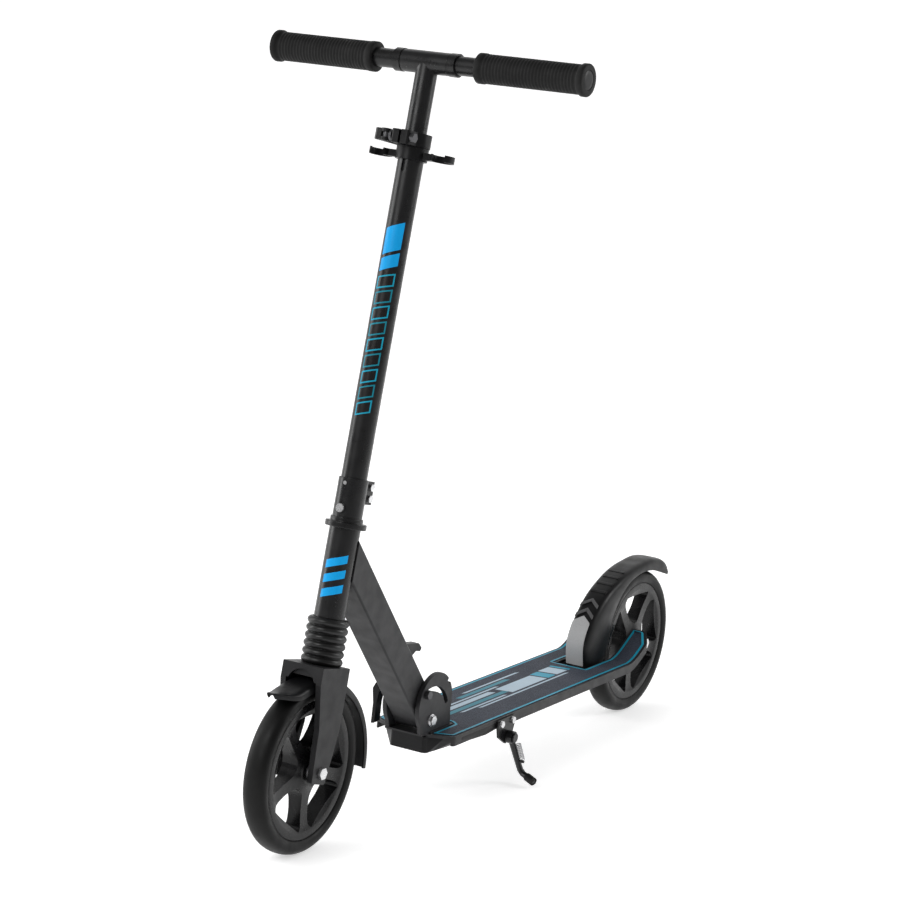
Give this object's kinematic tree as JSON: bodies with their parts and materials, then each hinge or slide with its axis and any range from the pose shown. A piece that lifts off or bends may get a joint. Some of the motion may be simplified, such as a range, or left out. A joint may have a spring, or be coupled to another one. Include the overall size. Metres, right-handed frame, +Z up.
{
  "type": "kick scooter",
  "caption": "Folding kick scooter with spoked wheels, a sprung front fork, a telescopic T-bar, a foot-brake fender and a side stand",
  "frame": {"origin": "on the floor, in the mid-plane, halfway between the two wheel axles (bottom centre of the bounding box)", "axes": "+Z up, -Y forward, +X to the rider's left, with the scooter upright on both wheels"},
  "size_m": [0.414, 1.015, 0.9192],
  "materials": {
    "black_steel": "satin black powder coat",
    "graphite_aluminium": "dark grey powder coat on aluminium",
    "black_plastic": "moulded black plastic",
    "grey_insert": "light grey moulded plastic",
    "tyre": "black solid tyre",
    "rubber": "matt black rubber",
    "grip_tape": "slate grit sheet with cyan border",
    "bright_steel": "zinc-plated steel"
  },
  "bodies": {
    "deck": {"deck_plate": "graphite_aluminium", "grip_tape": "grip_tape", "frame_rail": "graphite_aluminium", "front_nose": "black_plastic", "fold_bracket_left": "graphite_aluminium", "fold_bracket_right": "graphite_aluminium", "fold_base_plate": "graphite_aluminium", "base_screws": "bright_steel", "fold_pivot_bolt": "bright_steel", "rear_axle_bolt": "bright_steel", "rear_axle_spacers": "bright_steel", "fender_pivot_bolt": "bright_steel", "fender_spring": "bright_steel", "stand_bracket": "black_steel", "stand_bolts": "bright_steel"},
    "front_frame": {"head_tube": "black_steel", "headset_bearings": "bright_steel", "down_tube": "graphite_aluminium", "fold_knuckle": "graphite_aluminium", "carry_hook": "graphite_aluminium", "lock_skewer": "bright_steel"},
    "fold_lever": {"fold_lever": "black_plastic"},
    "steering": {"steerer_tube": "black_steel", "headset_flange": "black_steel", "lower_collar": "black_steel", "collar_bolts": "bright_steel", "column_tube": "black_steel", "clamp_collar": "black_plastic", "clamp_skewer": "bright_steel", "clip_ring": "black_plastic", "suspension_bellows": "rubber", "suspension_spring": "bright_steel"},
    "clamp_lever": {"clamp_lever": "black_plastic"},
    "tbar": {"stem_tube": "black_steel", "bar_sleeve": "black_steel", "sleeve_rings": "black_steel"},
    "left_handle": {"left_handle_tube": "black_steel", "left_grip": "rubber", "left_end_plug": "black_plastic"},
    "right_handle": {"right_handle_tube": "black_steel", "right_grip": "rubber", "right_end_plug": "black_plastic"},
    "fork": {"fork": "graphite_aluminium", "suspension_rod": "black_steel", "front_fender": "black_plastic", "front_axle_bolt": "bright_steel", "front_axle_spacers": "bright_steel"},
    "front_wheel": {"front_tyre": "tyre", "front_rim": "black_plastic", "front_hub_bearings": "bright_steel"},
    "rear_wheel": {"rear_tyre": "tyre", "rear_rim": "black_plastic", "rear_hub_bearings": "bright_steel"},
    "brake": {"rear_fender": "black_plastic", "fender_insert": "grey_insert", "brake_pad": "rubber"},
    "stand": {"stand_leg": "black_steel", "stand_foot": "rubber", "stand_spring": "bright_steel"}
  },
  "joints": [
    {"name": "fold", "type": "hinge", "parent": "deck", "child": "front_frame", "pos_m": [0, -0.1645, 0.111], "axis": [-1, 0, 0], "range_deg": [0, 86]},
    {"name": "fold_lever_turn", "type": "hinge", "parent": "front_frame", "child": "fold_lever", "pos_m": [-0.0365, -0.17935, 0.14598], "axis": [0, 1, 0], "range_deg": [0, 120]},
    {"name": "steer", "type": "hinge", "parent": "front_frame", "child": "steering", "pos_m": [0, -0.36065, 0.32214], "axis": [0, 0.1908, 0.9816], "range_deg": [-90, 90]},
    {"name": "suspension", "type": "slide", "parent": "steering", "child": "fork", "axis": [0, 0.1908, 0.9816], "range_m": [0, 0.012], "stiffness_N_per_m": 6000, "springref_m": -0.02, "deforming": ["suspension_bellows", "suspension_spring"]},
    {"name": "front_roll", "type": "hinge", "parent": "fork", "child": "front_wheel", "pos_m": [0, -0.4075, 0.1], "axis": [1, 0, 0], "continuous": true},
    {"name": "rear_roll", "type": "hinge", "parent": "deck", "child": "rear_wheel", "pos_m": [0, 0.4075, 0.1], "axis": [1, 0, 0], "continuous": true},
    {"name": "brake_press", "type": "hinge", "parent": "deck", "child": "brake", "pos_m": [0, 0.2755, 0.083], "axis": [-1, 0, 0], "range_deg": [0, 2.2], "stiffness_Nm_per_rad": 10, "springref_deg": -8.59},
    {"name": "bar_height", "type": "slide", "parent": "steering", "child": "tbar", "axis": [0, 0.1908, 0.9816], "range_m": [-0.06, 0.12]},
    {"name": "clamp_open", "type": "hinge", "parent": "steering", "child": "clamp_lever", "pos_m": [-0.0215, -0.29188, 0.81747], "axis": [0, 0.1908, 0.9816], "range_deg": [0, 90]},
    {"name": "left_pull", "type": "slide", "parent": "tbar", "child": "left_handle", "axis": [1, 0, 0], "range_m": [0, 0.03]},
    {"name": "right_pull", "type": "slide", "parent": "tbar", "child": "right_handle", "axis": [-1, 0, 0], "range_m": [0, 0.03]},
    {"name": "stand_fold", "type": "hinge", "parent": "deck", "child": "stand", "pos_m": [0.064, -0.0275, 0.068], "axis": [1, 0, 0], "range_deg": [0, 58], "stiffness_Nm_per_rad": 1, "springref_deg": -57.3}
  ]
}
